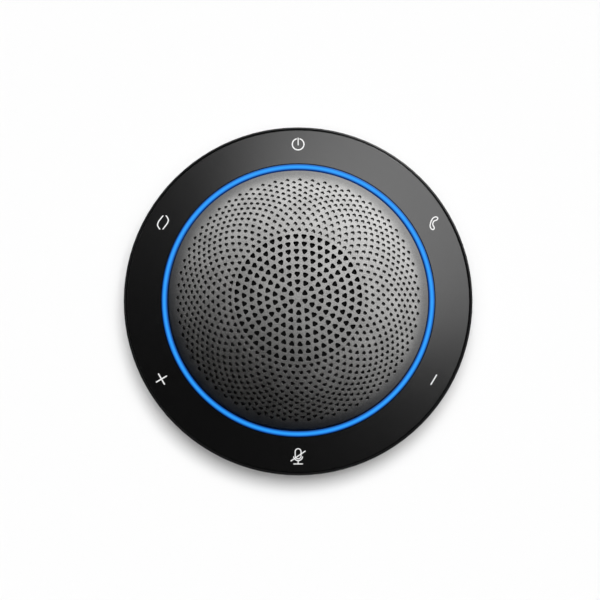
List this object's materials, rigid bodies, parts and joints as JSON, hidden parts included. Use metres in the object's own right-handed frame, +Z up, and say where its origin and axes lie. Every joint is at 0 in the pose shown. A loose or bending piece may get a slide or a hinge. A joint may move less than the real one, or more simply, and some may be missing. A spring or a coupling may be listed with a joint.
{
  "type": "conference speakerphone",
  "caption": "Round desk speakerphone with a domed perforated grille, a blue light ring, a sloping fascia with printed icons over hidden keys, and a rubber foot ring.",
  "frame": {"origin": "centre of the box at its lowest point, on the desk under the middle of the puck", "axes": "+Z up along the puck's axis, +Y towards the power key and the USB socket, +X towards the right of a user who faces the upright icons"},
  "size_m": [0.1228, 0.1228, 0.0405],
  "materials": {
    "casing_plastic": "fine matt moulded",
    "fascia_skin": "soft-touch satin with a fine grain",
    "grille_plastic": "satin grey, moulded",
    "light_ring": "translucent, lit blue",
    "foot_rubber": "matt",
    "acoustic_cloth": "fine black weave",
    "key_plastic": "matt moulded",
    "circuit_board": "solder mask, satin",
    "chip": "matt moulded",
    "plated_steel": "plated",
    "zinc": "zinc passivated",
    "ferrite": "ground",
    "cone_paper": "coated paper",
    "surround_rubber": "matt",
    "spider_cloth": "treated cloth",
    "coil": "enamelled copper",
    "foam": "closed-cell foam",
    "battery_wrap": "laminate pouch",
    "ribbon": "polyimide film",
    "led_chip": "moulded"
  },
  "bodies": {
    "casing": {"bottom_casing": "casing_plastic", "top_casing": "casing_plastic", "rubber_foot": "foot_rubber", "fascia_skin": "fascia_skin", "light_ring": "light_ring", "speaker_grille": "grille_plastic", "acoustic_cloth": "acoustic_cloth", "ring_board": "circuit_board", "main_board": "circuit_board", "audio_processor": "chip", "wireless_module": "plated_steel", "usb_c_port": "plated_steel", "battery_pack": "battery_wrap", "battery_bracket": "plated_steel", "ribbon_cable": "ribbon", "driver_basket": "zinc", "driver_top_plate": "zinc", "driver_yoke": "zinc", "driver_magnet": "ferrite", "driver_surround": "surround_rubber", "driver_spider": "spider_cloth", "driver_gasket": "foam", "power_switch": "plated_steel", "call_switch": "plated_steel", "volume_down_switch": "plated_steel", "mute_switch": "plated_steel", "volume_up_switch": "plated_steel", "pairing_switch": "plated_steel", "led_1": "led_chip", "led_2": "led_chip", "led_3": "led_chip", "led_4": "led_chip", "led_5": "led_chip", "led_6": "led_chip", "microphone_1": "plated_steel", "casing_screw_1": "plated_steel", "driver_screw_1": "plated_steel", "microphone_2": "plated_steel", "casing_screw_2": "plated_steel", "driver_screw_2": "plated_steel", "microphone_3": "plated_steel", "casing_screw_3": "plated_steel", "driver_screw_3": "plated_steel", "microphone_4": "plated_steel", "casing_screw_4": "plated_steel", "driver_screw_4": "plated_steel", "board_screw_1": "plated_steel", "board_screw_2": "plated_steel", "board_screw_3": "plated_steel"},
    "power_key": {"power_key": "key_plastic"},
    "call_key": {"call_key": "key_plastic"},
    "volume_down_key": {"volume_down_key": "key_plastic"},
    "mute_key": {"mute_key": "key_plastic"},
    "volume_up_key": {"volume_up_key": "key_plastic"},
    "pairing_key": {"pairing_key": "key_plastic"},
    "cone_assembly": {"driver_cone": "cone_paper", "driver_dust_cap": "cone_paper", "driver_voice_coil": "coil"}
  },
  "joints": [
    {"name": "power_key_press", "type": "slide", "parent": "casing", "child": "power_key", "axis": [0, 0, -1], "range_m": [0, 0.0003], "stiffness_N_per_m": 4000},
    {"name": "call_key_press", "type": "slide", "parent": "casing", "child": "call_key", "axis": [0, 0, -1], "range_m": [0, 0.0003], "stiffness_N_per_m": 4000},
    {"name": "volume_down_key_press", "type": "slide", "parent": "casing", "child": "volume_down_key", "axis": [0, 0, -1], "range_m": [0, 0.0003], "stiffness_N_per_m": 4000},
    {"name": "mute_key_press", "type": "slide", "parent": "casing", "child": "mute_key", "axis": [0, 0, -1], "range_m": [0, 0.0003], "stiffness_N_per_m": 4000},
    {"name": "volume_up_key_press", "type": "slide", "parent": "casing", "child": "volume_up_key", "axis": [0, 0, -1], "range_m": [0, 0.0003], "stiffness_N_per_m": 4000},
    {"name": "pairing_key_press", "type": "slide", "parent": "casing", "child": "pairing_key", "axis": [0, 0, -1], "range_m": [0, 0.0003], "stiffness_N_per_m": 4000},
    {"name": "cone_travel", "type": "slide", "parent": "casing", "child": "cone_assembly", "axis": [0, 0, 1], "range_m": [-0.0015, 0.0015], "stiffness_N_per_m": 1600, "deforming": ["driver_surround", "driver_spider"]}
  ]
}
